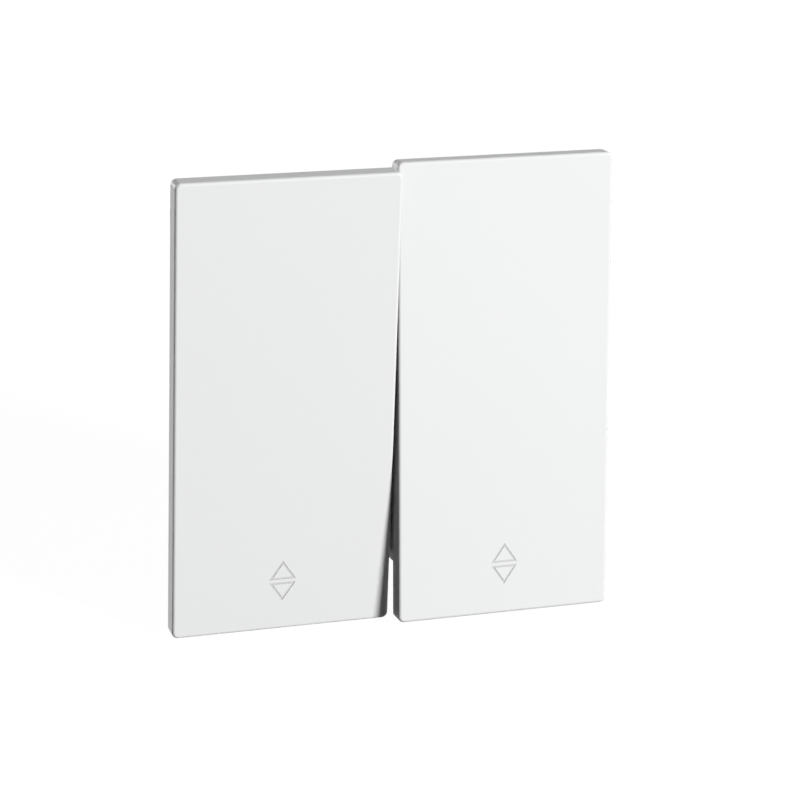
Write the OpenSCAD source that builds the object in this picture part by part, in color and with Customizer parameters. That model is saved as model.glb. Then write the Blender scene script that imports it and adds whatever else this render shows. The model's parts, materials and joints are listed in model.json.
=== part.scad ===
// Double two-way switch: two tall rocker keys side by side on a snap-in mechanism.
// X is to the right, Y into the wall and Z up. The origin is the middle of the seat plane,
// where the switch meets the support frame that holds it in the wall box.
// Each key sits on an inner rocker that turns in the front frame. The rocker's spring plunger
// tips a contact lever between two fixed contacts, one for each traveller wire.

/* [Keys] */
// Width of one key
key_w = 21.55; // [21:0.05:26]
// Height of a key
key_h = 45; // [42:0.5:60]
// Thickness of a key's front plate
key_t = 1.85; // [1.5:0.05:2.1]
// Gap between the two keys
key_gap = 0.28; // [0.2:0.02:1]
// Corner radius of a key, seen from the front
key_corner = 0.6; // [0.5:0.05:2]
// Rounding of a key's front edges
key_edge = 0.3; // [0.1:0.05:0.45]
// Height of the untilted face in front of the seat plane
face_h = 8.5; // [8.4:0.1:12]
// Depth of the tilt axis behind the face
pivot_depth = 3; // [2.8:0.05:3.4]
// Tilt of a key each way from flat, in degrees
tilt = 3.4; // [2:0.1:3.8]

/* [Key back] */
// Depth of the skirt behind the plate
skirt_depth = 3.15; // [2.6:0.05:3.3]
// Thickness of the skirt
skirt_wall = 1; // [0.7:0.05:1.2]
// Step from a key's edge to its skirt, beside the other key
skirt_inner = 0.6; // [0.4:0.05:1]
// Step from a key's edge to its skirt, on the outer side
skirt_outer = 1.2; // [0.9:0.05:1.6]
// Step from a key's top and bottom edges to its skirt
skirt_end = 5.2; // [4:0.1:6]
// Depth of the stiffening ribs on the back of the plate
rib_depth = 1.2; // [0.6:0.1:1.8]
// Thickness of the stiffening ribs
rib_t = 0.8; // [0.6:0.05:1.2]
// Length of each hook that holds the inner rocker
clip_l = 3; // [2:0.1:4]
// Reach of a hook's lip over the rocker
clip_lip = 0.7; // [0.4:0.05:1]
// Thickness of a hook's arm and lip
clip_t = 0.8; // [0.6:0.05:0.9]
// Distance of the hooks' middles from the ends of the rocker's plate
clip_end = 4; // [3:0.1:6]

/* [Inner rocker] */
// Gap between the ends of the rocker's plate and the skirt
rocker_room = 3.3; // [2.6:0.1:5]
// Thickness of the rocker's plate
rocker_t = 1.2; // [1:0.05:1.4]
// Radius of the trunnions
pin_r = 1; // [0.8:0.05:1.1]
// Half height of the cheeks that carry the trunnions
cheek_z = 2.8; // [2.2:0.1:4]
// Depth of the cheeks behind the tilt axis
cheek_back = 1.3; // [1.1:0.05:1.6]
// Outer radius of the plunger barrel
barrel_r = 2.8; // [2.5:0.05:3]
// Distance from the tilt axis to the barrel's mouth
barrel_reach = 8.7; // [8:0.1:9]
// Thickness of the gussets between plate and barrel
gusset_t = 0.8; // [0.6:0.05:1.2]

/* [Plunger] */
// Radius of the plunger's body
plunger_r = 1.6; // [1.4:0.05:1.8]
// Radius of the plunger's round nose
nose_r = 1.2; // [1:0.05:1.3]
// Distance from the tilt axis to the tip of the nose
nose_reach = 11.2; // [11:0.1:11.8]
// Length of the plunger's body
plunger_l = 3; // [2:0.1:4]
// Length of the barrel's narrow mouth
mouth_l = 1; // [0.7:0.05:1.4]
// Wire radius of the plunger spring
spring_wire = 0.2; // [0.15:0.01:0.25]
// Turns of the plunger spring
spring_turns = 6; // [4:1:8]

/* [Contact lever] */
// Width of the lever
lever_w = 4; // [3:0.1:4.4]
// Thickness of the lever
lever_t = 0.8; // [0.7:0.05:1]
// Distance of the contact tips from the lever's knife edge
contact_r = 7.8; // [7:0.1:8.4]
// Radius of a contact tip
tip_r = 1.3; // [1:0.05:1.5]
// Height of a contact tip
tip_h = 0.55; // [0.4:0.05:0.8]
// Turns of the lever for each turn of the key
flip_ratio = 2; // [1.5:0.1:2.2]

/* [Terminals] */
// Thickness of the brass terminal strips
term_t = 0.8; // [0.6:0.05:1]
// Radius of the wire entries
wire_r = 1.25; // [1.1:0.05:1.4]
// Thickness of the clamping leaves
leaf_t = 0.4; // [0.3:0.02:0.5]
// Width of the clamping leaves
leaf_w = 4; // [3:0.1:4.4]
// Room for a leaf between the wire and the housing
leaf_room = 0.95; // [0.8:0.05:1.2]
// Thickness of the ribs between the partition and the traveller leaves
leaf_rib_t = 0.5; // [0.4:0.05:1.5]
// Room between the terminals and the end of the chamber
end_room = 2.1; // [1.6:0.1:4]

/* [Front frame] */
// Thickness of the frame's plate
frame_t = 2; // [1.6:0.05:2.1]
// Width of the seat at each side of the housing
side_land = 3.2; // [2:0.1:4]
// Step from the top and bottom edges of a key to the frame
frame_end = 3.1; // [2.6:0.1:4]
// Width and height of the collar around each barrel window
collar = 0.7; // [0.4:0.05:0.8]
// Corner radius of the frame
frame_corner = 1.5; // [0.5:0.1:2.5]
// Thickness of the bearing ears
ear_t = 1.3; // [1:0.05:1.5]
// Wall around the trunnion in an ear
ear_wall = 0.95; // [0.7:0.05:1.3]
// Width of the lever-out notches at the top and bottom
notch_w = 10; // [6:0.5:12]
// Depth of the lever-out notches
notch_d = 1.4; // [0.8:0.1:1.8]
// Width and depth of the grooves beside the housing that border the seats
seat_groove = 0.5; // [0.3:0.05:0.8]
// Width of the seat around the window of the support frame
seat_land = 2.1; // [1.8:0.1:2.6]
// Thickness of a snap hook
hook_t = 1; // [0.8:0.05:1.3]
// Width of a snap hook
hook_w = 5; // [3:0.5:8]
// Reach of a snap hook's barb
barb = 0.9; // [0.5:0.05:1.2]
// Thickness of the support frame that the hooks grip
grip_t = 2; // [1.5:0.1:2.5]
// Distance of the snap hooks from the middle
hook_x = 10.5; // [8:0.5:12]

/* [Housing] */
// Depth of the housing behind the seat plane
house_d = 11.5; // [11:0.1:14]
// Thickness of the housing's walls
wall = 1.2; // [1:0.05:1.4]
// Thickness of the partition between the two switches
partition_t = 1.2; // [1:0.05:1.6]
// Corner radius of the housing
house_corner = 1.6; // [0.8:0.1:2]
// Height of the shallow pockets on the housing's sides
pocket_h = 7; // [4:0.5:8]
// Depth of the pockets
pocket_d = 0.4; // [0.2:0.05:0.5]
// Width of the ribs between the pockets
pocket_rib = 1.2; // [0.8:0.1:2]
// Length of the groove that shows how far to strip a wire
strip_l = 11; // [9:0.5:12]
// Gap between the snap hooks and the housing
hook_gap = 0.8; // [0.6:0.05:1.5]
// Thickness of the rear cover
cover_t = 3.5; // [3:0.1:5]
// Size of the rebate between housing and cover
rebate = 0.3; // [0.15:0.05:0.4]
// Width and height of the sunk panel for the wiring diagram
panel_w = 17; // [12:0.5:18]
panel_h = 12; // [8:0.5:13]
// Depth of the panel
panel_d = 0.25; // [0.15:0.05:0.3]
// Depth of the funnel at each wire entry
funnel_d = 0.6; // [0.3:0.05:1]
// Growth of a wire entry's radius across its funnel
funnel_r = 0.35; // [0.2:0.05:0.4]
// Width of the release slots
slot_w = 0.8; // [0.6:0.05:0.9]
// Length of the release slots
slot_l = 2.6; // [2:0.1:3.2]

/* [Screws] */
// Radius of a housing screw's shank
screw_r = 0.9; // [0.7:0.05:1]
// Radius of a screw's head
head_r = 1.7; // [1.4:0.05:1.8]
// Height of a screw's head
head_h = 1; // [0.8:0.05:1.3]
// Wall around a screw hole
boss_wall = 1.1; // [0.9:0.05:1.2]

/* [Clearances] */
// Running clearance of the trunnions
pin_play = 0.06; // [0.04:0.01:0.08]
// Side clearance between rocker and ears
ear_play = 0.2; // [0.1:0.05:0.3]
// Clearance between ears and skirt
skirt_play = 0.55; // [0.4:0.05:0.7]
// Clearance between hooks and rocker plate
clip_play = 0.1; // [0.05:0.01:0.2]
// Running clearance of the plunger
plunger_play = 0.1; // [0.05:0.01:0.12]
// Gap between the plunger's nose and the lever, when flat
nose_gap = 0.12; // [0.1:0.01:0.3]
// Gap between closed contact tips
contact_gap = 0.12; // [0.1:0.01:0.3]
// Gap between the lever and the knife edge
knife_gap = 0.1; // [0.06:0.01:0.15]
// Side clearance of the lever
lever_play = 0.2; // [0.1:0.05:0.3]
// Clearance around the barrel in its window
window_play = 0.45; // [0.3:0.05:0.7]
// Gap between the pressed rocker and its stop
stop_gap = 0.1; // [0.05:0.01:0.2]
// Clearance of the screws in their holes
screw_play = 0.15; // [0.05:0.01:0.25]

/* [Hidden] */
$fn = 48;
LEFT = -1;
RIGHT = 1;
UP = 1;
DOWN = -1;
over = 0.5;

// Depths of the key and its axis
face_y = -face_h;
plate_back = face_y + key_t;
pivot_y = face_y + pivot_depth;
skirt_back = plate_back + skirt_depth;
rocker_back = plate_back + rocker_t;

// Clear space inside the skirt of the right key, and the rocker in it
key_cx = (key_w + key_gap) / 2;
skirt_x0 = key_gap / 2 + skirt_inner;
skirt_x1 = key_gap / 2 + key_w - skirt_outer;
skirt_z = key_h / 2 - skirt_end;
ear_x0 = skirt_x0 + skirt_wall + skirt_play;
ear_x1 = skirt_x1 - skirt_wall - skirt_play;
rocker_x0 = ear_x0 + ear_t + ear_play;
rocker_x1 = ear_x1 - ear_t - ear_play;
rocker_w = rocker_x1 - rocker_x0;
rocker_cx = (rocker_x0 + rocker_x1) / 2;
rocker_h = 2 * (skirt_z - skirt_wall - rocker_room);
clip_z = rocker_h / 2 - clip_end;

// Sizes across the housing, from the partition outwards
wire_step = term_t + wire_r + 0.05;
leaf_reach = wire_r + leaf_room;
traveller_wire_x = partition_t / 2 + leaf_rib_t + leaf_reach;
traveller_x = traveller_wire_x + wire_step;
mech_x = traveller_x + 0.4 + lever_play + lever_w / 2;
common_x = mech_x + lever_w / 2 + lever_play + 0.7;
common_wire_x = common_x + wire_step;
chamber_x = common_wire_x + leaf_reach;
house_x = chamber_x + wall;

// Barrel, plunger and spring
bore_r = plunger_r + plunger_play;
mouth_r = nose_r + plunger_play;
mouth_y = pivot_y + barrel_reach;
step_y = mouth_y - mouth_l;
plunger_front = step_y - plunger_play;
plunger_rear = plunger_front - plunger_l;
nose_y = pivot_y + nose_reach;
spring_r = bore_r - spring_wire - 0.25;
bore_end = rocker_back;

// Contact lever, in its flat position
lever_front = nose_y + nose_gap;
lever_back = lever_front + lever_t;
groove_d = 0.27;
knife_y = lever_back - groove_d + knife_gap;
knife_h = 0.75;
knife_angle = 30;
groove_angle = 50;
bridge_y = knife_y + knife_h;
lever_l = 2 * (contact_r + tip_r + 0.2);
tip_dome = 3;
flip = flip_ratio * tilt;
fixed_face = knife_y + (lever_back + tip_h - tip_dome - knife_y) * cos(flip)
    + contact_r * sin(flip) + tip_dome + contact_gap;
fixed_plate = fixed_face + tip_h;
fixed_back = fixed_plate + term_t;

// Heights in the housing
frame_x = house_x + side_land;
frame_z = key_h / 2 - frame_end;
hook_z = frame_z - seat_land;
house_z = hook_z - hook_t - hook_gap;
chamber_z = house_z - wall;
terminal_z = chamber_z - end_room - leaf_w / 2;
traveller_wire_z = terminal_z;
contact_land = tip_r + 0.5;
cover_back = house_d + cover_t;
boss_r = screw_r + screw_play + boss_wall;
screw_x = house_x - boss_r;
screw_z = house_z - boss_r;
boss_front = 1.2;
ear_reach = pin_r + ear_wall;
window_x = barrel_r + window_play;
window_z = barrel_r + window_play + (barrel_reach) * sin(tilt) * 0.8;
stop_z = rocker_h / 2 - 1.5;
stop_t = 1.2;
stop_w = 8;

// The pose in the photograph: the left key is pressed at the bottom, the right one at the top
function rest(side) = side == LEFT ? tilt : -tilt;

// Puts what is drawn for the right switch on either side
module on_side(side) {
    if (side == LEFT) mirror([1, 0, 0]) children();
    else children();
}

// Turns a key and what it carries to its rest pose
module tilted(side) {
    translate([0, pivot_y, 0]) rotate([rest(side), 0, 0]) translate([0, -pivot_y, 0]) children();
}

// Turns a contact lever to its rest pose, opposite to its key
module flipped(side) {
    translate([0, knife_y, 0]) rotate([-flip_ratio * rest(side), 0, 0])
        translate([0, -knife_y, 0]) children();
}

// A block between two corners
module block(low, high) {
    translate(low) cube(high - low);
}

// A cylinder along Y from y0 to y1
module rod_y(x, z, y0, y1, r) {
    translate([x, y0, z]) rotate([-90, 0, 0]) cylinder(r = r, h = y1 - y0);
}

// A rectangle with round corners, standing in the XZ plane, from y0 to y1
module rounded_slab(half_x, half_z, corner, y0, y1) {
    translate([0, y1, 0]) rotate([90, 0, 0]) linear_extrude(y1 - y0) {
        square([2 * (half_x - corner), 2 * half_z], center = true);
        square([2 * half_x, 2 * (half_z - corner)], center = true);
        for (sx = [-1, 1], sz = [-1, 1])
            translate([sx * (half_x - corner), sz * (half_z - corner)]) circle(corner);
    }
}

// One rounded corner of a key's plate, about the plate's middle
module plate_corner(sx, sz) {
    translate([sx * (key_w / 2 - key_corner), plate_back, sz * (key_h / 2 - key_corner)])
        rotate([90, 0, 0]) rotate_extrude($fn = 32) {
            square([key_corner, key_t - key_edge]);
            square([key_corner - key_edge, key_t]);
            translate([key_corner - key_edge, key_t - key_edge])
                intersection() {
                    circle(key_edge, $fn = 32);
                    square(key_edge);
                }
        }
}

// A key's front plate, with round corners and softened front edges
module key_plate() {
    hull() for (sx = [-1, 1], sz = [-1, 1]) plate_corner(sx, sz);
}

// The skirt around the back of a key
module key_skirt() {
    difference() {
        block([skirt_x0, plate_back, -skirt_z], [skirt_x1, skirt_back, skirt_z]);
        block([skirt_x0 + skirt_wall, plate_back - over, -skirt_z + skirt_wall],
            [skirt_x1 - skirt_wall, skirt_back + over, skirt_z - skirt_wall]);
    }
}

// Ribs that stiffen the plate above and below the rocker
module key_ribs() {
    for (sz = [-1, 1]) translate([0, 0, sz * (rocker_h / 2 + 1)])
        block([skirt_x0 + skirt_wall / 2, plate_back, -rib_t / 2],
            [skirt_x1 - skirt_wall / 2, plate_back + rib_depth, rib_t / 2]);
    for (sz = [-1, 1]) translate([key_cx, 0, sz * (skirt_z + key_h / 2 - key_corner) / 2])
        block([-rib_t / 2, plate_back, -(skirt_end - key_corner) / 2],
            [rib_t / 2, plate_back + rib_depth / 2, (skirt_end - key_corner) / 2]);
}

// A hook beside the rocker's plate, with its lip behind it
module key_clip(x, inward, z) {
    arm = x - inward * (clip_play + clip_t / 2);
    lip = x + inward * (clip_lip - clip_play - clip_t) / 2;
    lip_w = clip_lip + clip_play + clip_t;
    translate([arm, 0, z])
        block([-clip_t / 2, plate_back, -clip_l / 2], [clip_t / 2, rocker_back, clip_l / 2]);
    translate([lip, 0, z])
        block([-lip_w / 2, rocker_back, -clip_l / 2], [lip_w / 2, rocker_back + clip_t, clip_l / 2]);
}

module key(side) {
    color("white") on_side(side) tilted(side) {
        translate([key_cx, 0, 0]) key_plate();
        key_skirt();
        key_ribs();
        for (sz = [-1, 1]) {
            key_clip(rocker_x0, 1, sz * clip_z);
            key_clip(rocker_x1, -1, sz * clip_z);
        }
    }
}

// The cheek and trunnion at one side of the rocker
module trunnion(x, outward) {
    cheek_t = 1.2;
    translate([x - outward * cheek_t / 2, 0, 0])
        block([-cheek_t / 2, rocker_back - over, -cheek_z],
            [cheek_t / 2, pivot_y + cheek_back, cheek_z]);
    translate([x - outward * cheek_t / 2, pivot_y, 0]) rotate([0, outward * 90, 0])
        cylinder(r = pin_r, h = cheek_t / 2 + ear_play + ear_t);
}

// Gussets that brace the barrel against the plate, above and below it
module barrel_gussets() {
    depth = barrel_reach / 3;
    for (sz = [-1, 1]) translate([mech_x - gusset_t / 2, 0, 0]) rotate([0, 90, 0])
        linear_extrude(gusset_t)
            polygon([[-sz * (barrel_r - 0.3), rocker_back - 0.2], [-sz * (barrel_r + 3), rocker_back - 0.2],
                [-sz * (barrel_r + 3), rocker_back], [-sz * (barrel_r - 0.3), rocker_back + depth]]);
}

module rocker(side) {
    color("gainsboro") on_side(side) tilted(side) difference() {
        union() {
            block([rocker_x0, plate_back, -rocker_h / 2], [rocker_x1, rocker_back, rocker_h / 2]);
            rod_y(mech_x, 0, plate_back + rocker_t / 2, mouth_y, barrel_r);
            barrel_gussets();
            trunnion(rocker_x0, -1);
            trunnion(rocker_x1, 1);
        }
        rod_y(mech_x, 0, bore_end, step_y, bore_r);
        rod_y(mech_x, 0, step_y - over, mouth_y + over, mouth_r);
    }
}

// The plunger: a body that slides in the barrel and a round nose through its mouth
module plunger(side) {
    color("ivory") on_side(side) tilted(side) translate([mech_x, 0, 0]) rotate([-90, 0, 0])
        rotate_extrude() {
            translate([0, plunger_rear]) square([plunger_r, plunger_l]);
            translate([0, plunger_rear]) square([nose_r, nose_y - nose_r - plunger_rear]);
            translate([0, nose_y - nose_r]) intersection() {
                circle(nose_r);
                square(nose_r);
            }
        }
}

// Points of a helix section: ring i of the coil, with its wire's outline
function coil_point(i, k, rings, sides, length) =
    let (a = 360 * spring_turns * i / rings, b = 360 * k / sides,
        r = spring_r + spring_wire * cos(b))
    [r * cos(a), r * sin(a), spring_wire + (length - 2 * spring_wire) * i / rings
        + spring_wire * sin(b)];

// A coil spring along Z, from 0 to its length
module coil(length) {
    sides = 8;
    rings = 16 * spring_turns;
    points = [for (i = [0:rings], k = [0:sides - 1]) coil_point(i, k, rings, sides, length)];
    tube = [for (i = [0:rings - 1], k = [0:sides - 1])
        [i * sides + k, i * sides + (k + 1) % sides,
            (i + 1) * sides + (k + 1) % sides, (i + 1) * sides + k]];
    ends = [[for (k = [sides - 1:-1:0]) k], [for (k = [0:sides - 1]) rings * sides + k]];
    polyhedron(points, concat(tube, ends), convexity = 8);
}

module plunger_spring(side) {
    color("silver") on_side(side) tilted(side) translate([mech_x, bore_end, 0])
        rotate([-90, 0, 0]) coil(plunger_rear - bore_end);
}

// The contact lever: a strip with a groove that rides on the knife edge
module contact_lever(side) {
    color("goldenrod") on_side(side) flipped(side) translate([mech_x, 0, 0]) difference() {
        block([-lever_w / 2, lever_front, -lever_l / 2], [lever_w / 2, lever_back, lever_l / 2]);
        translate([-lever_w, 0, 0]) rotate([90, 0, 90]) linear_extrude(2 * lever_w)
            polygon([[lever_back - groove_d, 0],
                [lever_back + over, (groove_d + over) * tan(groove_angle)],
                [lever_back + over, -(groove_d + over) * tan(groove_angle)]]);
    }
}

// The two domed silver tips on the back of the lever
module lever_tips(side) {
    color("silver") on_side(side) flipped(side)
        for (sz = [-1, 1]) translate([mech_x, lever_back, sz * contact_r]) rotate([-90, 0, 0])
            intersection() {
                cylinder(r = tip_r, h = tip_h);
                translate([0, 0, tip_h - tip_dome]) sphere(tip_dome, $fn = 96);
            }
}

// The knife edge that carries the lever, on the common terminal's bridge
module knife_edge() {
    half = knife_h * tan(knife_angle);
    translate([mech_x - lever_w / 2, 0, 0]) rotate([90, 0, 90]) linear_extrude(lever_w)
        polygon([[knife_y, 0], [bridge_y + 0.1, half], [bridge_y + 0.1, -half]]);
}

module common_terminal(side) {
    bridge_z = 1.8;
    cheek_t = 0.5;
    guide_z = 1;
    color("goldenrod") on_side(side) {
        block([mech_x - lever_w / 2 - lever_play - cheek_t, bridge_y, -bridge_z],
            [common_x + term_t, bridge_y + term_t, bridge_z]);
        knife_edge();
        for (sx = [-1, 1]) translate([mech_x + sx * (lever_w + 2 * lever_play + cheek_t) / 2, 0, 0])
            block([-cheek_t / 2, lever_front - 0.2, -guide_z],
                [cheek_t / 2, bridge_y + term_t / 2, guide_z]);
        block([common_x, wall, -leaf_w / 2], [common_x + term_t, fixed_back, leaf_w / 2]);
    }
}

// A traveller terminal: the plate behind a fixed tip and the wall that the wire is pressed on
module traveller_terminal(side, end) {
    low = contact_r - contact_land;
    color("goldenrod") on_side(side) mirror([0, 0, end == UP ? 0 : 1]) {
        block([traveller_x - term_t, fixed_plate, low],
            [mech_x + lever_w / 2, fixed_back, contact_r + contact_land]);
        block([traveller_x - term_t, wall, min(low, terminal_z - leaf_w / 2)],
            [traveller_x, fixed_back, terminal_z + leaf_w / 2]);
    }
}

// The flat silver tips on the two traveller terminals
module fixed_tips(side) {
    color("silver") on_side(side) for (sz = [-1, 1])
        rod_y(mech_x, sz * contact_r, fixed_face, fixed_plate, tip_r + 0.2);
}

// Where a strip of thickness t along the points p has its edge: side is 1 or -1
function strip_edge(p, t, side) = [for (i = [0:len(p) - 1])
    let (d0 = p[i] - p[max(i - 1, 0)], d1 = p[min(i + 1, len(p) - 1)] - p[i],
        u0 = i == 0 ? d1 / norm(d1) : d0 / norm(d0),
        u1 = i == len(p) - 1 ? u0 : d1 / norm(d1),
        n = [-u0[1] - u1[1], u0[0] + u1[0]])
    p[i] + side * t * n / (n * n)];

// The items of a list, last one first
function backwards(p) = [for (i = [len(p) - 1:-1:0]) p[i]];

// A clamping leaf around a wire on the Y axis: the wire comes from +Y and meets its slanted leg
module leaf() {
    back = leaf_reach - leaf_t / 2;
    top = house_d - 0.5;
    bend_r = 0.6;
    turn = 150;
    bend = [for (a = [0:15:turn])
        [back - bend_r + bend_r * cos(a), top - bend_r + bend_r * sin(a)]];
    leg = (bend[len(bend) - 1][0] + wire_r - leaf_t / 2 - 0.1) / -cos(turn + 90);
    tip = bend[len(bend) - 1] + leg * [cos(turn + 90), sin(turn + 90)];
    p = concat([[back, wall + 2.3]], bend, [tip]);
    translate([0, 0, -leaf_w / 2]) linear_extrude(leaf_w)
        polygon(concat(strip_edge(p, leaf_t, 1), backwards(strip_edge(p, leaf_t, -1))));
}

module common_leaf(side) {
    color("lightsteelblue") on_side(side) translate([common_wire_x, 0, 0]) leaf();
}

module traveller_leaf(side, end) {
    color("lightsteelblue") on_side(side) mirror([0, 0, end == UP ? 0 : 1])
        translate([traveller_wire_x, 0, traveller_wire_z]) mirror([1, 0, 0]) leaf();
}

// An ear that the trunnion snaps into from the front
module ear(x) {
    reach = ear_reach;
    seat = pin_r + pin_play;
    tip = 0.55;
    translate([x, 0, 0]) difference() {
        union() {
            block([0, pivot_y, -reach], [ear_t, -frame_t + over, reach]);
            intersection() {
                translate([0, pivot_y, 0]) rotate([0, 90, 0]) cylinder(r = reach, h = ear_t);
                block([-over, pivot_y - tip, -reach], [ear_t + over, pivot_y + over, reach]);
            }
        }
        translate([-over, pivot_y, 0]) rotate([0, 90, 0]) cylinder(r = seat, h = ear_t + 2 * over);
    }
}

// A stop that a pressed rocker meets
module rocker_stop(end) {
    z = end * stop_z;
    pressed = pivot_y + (rocker_back - pivot_y) * cos(tilt) + (stop_z + stop_t / 2) * sin(tilt);
    translate([rocker_cx, 0, z])
        block([-stop_w / 2, pressed + stop_gap, -stop_t / 2], [stop_w / 2, -frame_t + over, stop_t / 2]);
}

// A snap hook that goes behind the support frame
module snap_hook(x) {
    arm_l = grip_t + 2.5;
    translate([x - hook_w / 2, 0, 0]) rotate([90, 0, 90]) linear_extrude(hook_w)
        polygon([[-frame_t / 2, hook_z - hook_t], [-frame_t / 2, hook_z], [grip_t, hook_z],
            [grip_t + 0.4, hook_z + barb], [arm_l, hook_z], [arm_l, hook_z - hook_t]]);
}

// The window for a rocker's barrel, or with a rim the collar around it
module barrel_window(y0, y1, rim = 0) {
    block([mech_x - window_x - rim, y0, -window_z - rim], [mech_x + window_x + rim, y1, window_z + rim]);
}

module front_frame() {
    color("whitesmoke") difference() {
        union() {
            rounded_slab(frame_x, frame_z, frame_corner, -frame_t, 0);
            for (side = [LEFT, RIGHT]) on_side(side) {
                ear(ear_x0);
                ear(ear_x1 - ear_t);
                barrel_window(-frame_t - collar, -frame_t / 2, collar);
                block([0, -frame_t * 0.9, -ear_reach], [ear_x1, -frame_t * 0.3, ear_reach]);
                rocker_stop(UP);
                rocker_stop(DOWN);
                for (sz = [-1, 1])
                    rod_y(screw_x, sz * screw_z, -frame_t - boss_front, -frame_t / 2, boss_r);
            }
            for (sx = [-1, 1], sz = [0, 1]) mirror([0, 0, sz]) snap_hook(sx * hook_x);
        }
        for (side = [LEFT, RIGHT]) on_side(side) {
            barrel_window(-frame_t - collar - over, over);
            block([house_x + 0.1, -seat_groove, -frame_z - over],
                [house_x + 0.1 + seat_groove, over, frame_z + over]);
            for (sz = [-1, 1])
                rod_y(screw_x, sz * screw_z, -frame_t - boss_front + 0.6, over, screw_r + screw_play / 3);
        }
        for (sz = [-1, 1]) translate([0, 0, sz * frame_z])
            block([-notch_w / 2, -frame_t - over, -notch_d], [notch_w / 2, over, notch_d]);
    }
}

// One of the two contact chambers
module chamber() {
    block([partition_t / 2, wall, -chamber_z], [chamber_x, house_d + over, chamber_z]);
}

// Shallow pockets that leave ribs on the housing's side
module side_pockets() {
    for (i = [-1:1]) translate([house_x, 0, i * (pocket_h + pocket_rib)])
        block([-pocket_d, 2 * wall, -pocket_h / 2], [over, house_d - wall, pocket_h / 2]);
}

// Ribs behind the traveller leaves, from the partition
module leaf_rib(end) {
    rib_x = traveller_wire_x - leaf_reach;
    translate([0, 0, end * traveller_wire_z])
        block([0, wall - over, -leaf_w / 2], [rib_x, house_d - 1, leaf_w / 2]);
}

module base_housing() {
    color("lightgray") difference() {
        union() {
            difference() {
                rounded_slab(house_x, house_z, house_corner, 0, house_d);
                for (side = [LEFT, RIGHT]) on_side(side) {
                    chamber();
                    side_pockets();
                }
                translate([0, (wall + house_d) / 2, house_z])
                    block([-strip_l / 2, -pocket_d, -pocket_d], [strip_l / 2, pocket_d, over]);
            }
            for (side = [LEFT, RIGHT]) on_side(side) {
                leaf_rib(UP);
                leaf_rib(DOWN);
                for (sz = [-1, 1]) rod_y(screw_x, sz * screw_z, wall / 2, house_d, boss_r);
            }
        }
        for (side = [LEFT, RIGHT]) on_side(side) {
            barrel_window(-over, wall + over);
            for (sz = [-1, 1])
                rod_y(screw_x, sz * screw_z, -over, house_d + over, screw_r + screw_play);
        }
    }
}

// A wire entry with its funnel, and the slot beside it for a release tool
module wire_entry(x, z, leaf_side) {
    rod_y(x, z, house_d - over, cover_back + over, wire_r);
    translate([x, cover_back - funnel_d, z]) rotate([-90, 0, 0])
        cylinder(r1 = wire_r, r2 = wire_r + funnel_r, h = funnel_d);
    translate([x + leaf_side * (wire_r + funnel_r + 0.1 + slot_w / 2), 0, z])
        block([-slot_w / 2, house_d - over, -slot_l / 2], [slot_w / 2, cover_back + over, slot_l / 2]);
}

// Posts inside the cover that hold the terminals forward
module terminal_posts() {
    post = 2.4;
    for (sz = [-1, 1]) translate([mech_x, 0, sz * contact_r])
        block([-post / 2, fixed_back, -post / 2], [post / 2, house_d + over, post / 2]);
    translate([mech_x, 0, 0])
        block([-post / 2, bridge_y + term_t, -post / 2], [post / 2, house_d + over, post / 2]);
}

module rear_cover() {
    color("lightgray") difference() {
        union() {
            rounded_slab(house_x - rebate, house_z - rebate, house_corner - rebate,
                house_d, house_d + rebate + over);
            rounded_slab(house_x, house_z, house_corner, house_d + rebate, cover_back);
            for (side = [LEFT, RIGHT]) on_side(side) terminal_posts();
        }
        translate([0, cover_back, 0])
            block([-panel_w / 2, -panel_d, -panel_h / 2], [panel_w / 2, over, panel_h / 2]);
        for (side = [LEFT, RIGHT]) on_side(side) {
            wire_entry(common_wire_x, 0, 1);
            for (sz = [-1, 1]) {
                wire_entry(traveller_wire_x, sz * traveller_wire_z, -1);
                rod_y(screw_x, sz * screw_z, house_d - over, cover_back + over, screw_r + screw_play);
                rod_y(screw_x, sz * screw_z, cover_back - head_h - 0.2, cover_back + over,
                    head_r + screw_play);
            }
        }
    }
}

// The four screws that hold cover, housing and frame together
module housing_screws() {
    seat = cover_back - head_h - 0.2;
    color("silver") for (sx = [-1, 1], sz = [-1, 1]) {
        rod_y(sx * screw_x, sz * screw_z, -frame_t - boss_front + 0.8, seat + head_h / 2, screw_r);
        rod_y(sx * screw_x, sz * screw_z, seat, seat + head_h, head_r);
    }
}

key(LEFT);  // left_key
key(RIGHT);  // right_key
rocker(LEFT);  // left_rocker
rocker(RIGHT);  // right_rocker
plunger(LEFT);  // left_plunger
plunger(RIGHT);  // right_plunger
plunger_spring(LEFT);  // left_plunger_spring
plunger_spring(RIGHT);  // right_plunger_spring
contact_lever(LEFT);  // left_contact_lever
contact_lever(RIGHT);  // right_contact_lever
lever_tips(LEFT);  // left_lever_tips
lever_tips(RIGHT);  // right_lever_tips
common_terminal(LEFT);  // left_common_terminal
common_terminal(RIGHT);  // right_common_terminal
traveller_terminal(LEFT, UP);  // left_upper_terminal
traveller_terminal(LEFT, DOWN);  // left_lower_terminal
traveller_terminal(RIGHT, UP);  // right_upper_terminal
traveller_terminal(RIGHT, DOWN);  // right_lower_terminal
fixed_tips(LEFT);  // left_fixed_tips
fixed_tips(RIGHT);  // right_fixed_tips
common_leaf(LEFT);  // left_common_leaf
common_leaf(RIGHT);  // right_common_leaf
traveller_leaf(LEFT, UP);  // left_upper_leaf
traveller_leaf(LEFT, DOWN);  // left_lower_leaf
traveller_leaf(RIGHT, UP);  // right_upper_leaf
traveller_leaf(RIGHT, DOWN);  // right_lower_leaf
front_frame();
base_housing();
rear_cover();
housing_screws();
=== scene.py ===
"""Looks of the double two-way switch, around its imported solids. Lengths are in metres."""
import json
import math

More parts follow.
